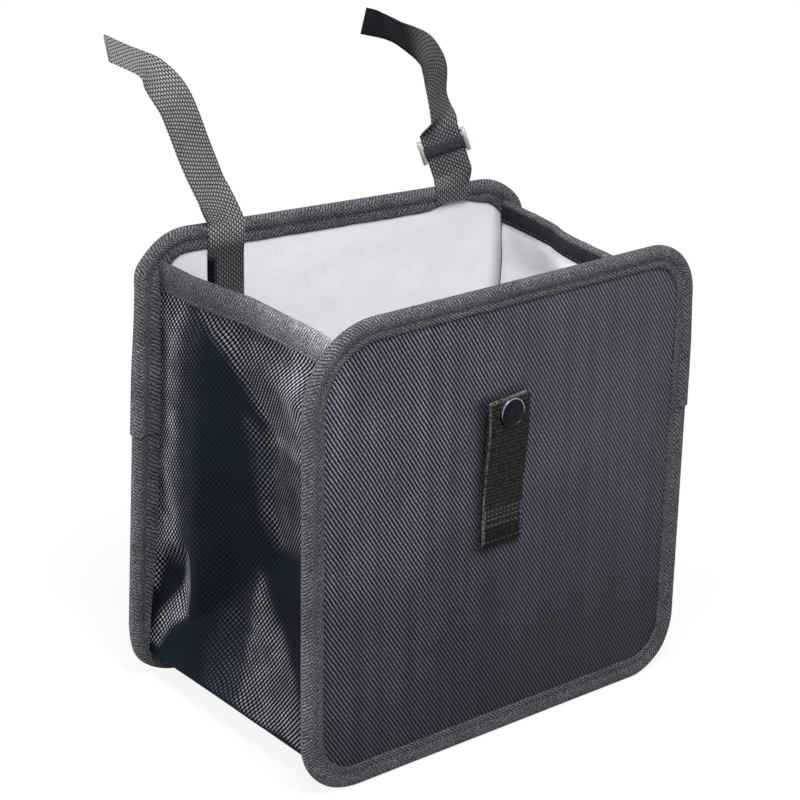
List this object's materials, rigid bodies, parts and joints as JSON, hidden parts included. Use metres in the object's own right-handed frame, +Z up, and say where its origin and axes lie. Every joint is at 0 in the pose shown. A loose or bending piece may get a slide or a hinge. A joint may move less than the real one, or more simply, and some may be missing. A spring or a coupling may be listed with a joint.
{
  "type": "car trash bag",
  "caption": "Open-topped rectangular car trash bag with stiff bound panels, folding gussets, pale lining, snap tab and hanging webbing straps.",
  "frame": {"origin": "under the middle of the whole box, at the level of the lower edges that the bag stands on", "axes": "+Z up, +X to the right as seen from the front, +Y from the front panel with the tab to the back panel with the straps"},
  "size_m": [0.2594, 0.1619, 0.3366],
  "materials": {
    "panel_cloth": "twill woven polyester",
    "gusset_cloth": "soft Oxford cloth",
    "edge_tape": "fine ribbed binding tape",
    "lining_film": "smooth coated lining",
    "board": "plain",
    "webbing": "plain woven webbing",
    "tab_webbing": "fine ribbed webbing",
    "slider_metal": "semi-gloss",
    "snap_enamel": "gloss enamel",
    "snap_metal": "plated"
  },
  "bodies": {
    "bag": {"front_binding": "edge_tape", "front_cover": "panel_cloth", "front_board": "board", "front_lining": "lining_film", "back_binding": "edge_tape", "back_cover": "panel_cloth", "back_board": "board", "back_lining": "lining_film", "base_cover": "gusset_cloth", "base_board": "board", "base_lining": "lining_film", "left_gusset": "gusset_cloth", "left_lining": "lining_film", "left_rim": "edge_tape", "right_gusset": "gusset_cloth", "right_lining": "lining_film", "right_rim": "edge_tape", "left_strap": "webbing", "right_strap": "webbing", "tab": "tab_webbing", "snap_cap": "snap_enamel", "snap_socket": "snap_metal", "snap_stud": "snap_metal", "snap_rivet": "snap_metal"},
    "slider": {"slider": "slider_metal"}
  },
  "joints": [
    {"name": "slider_slide", "type": "slide", "parent": "bag", "child": "slider", "axis": [-0.2791, 0.1677, 0.9455], "range_m": [-0.008, 0.002]}
  ]
}
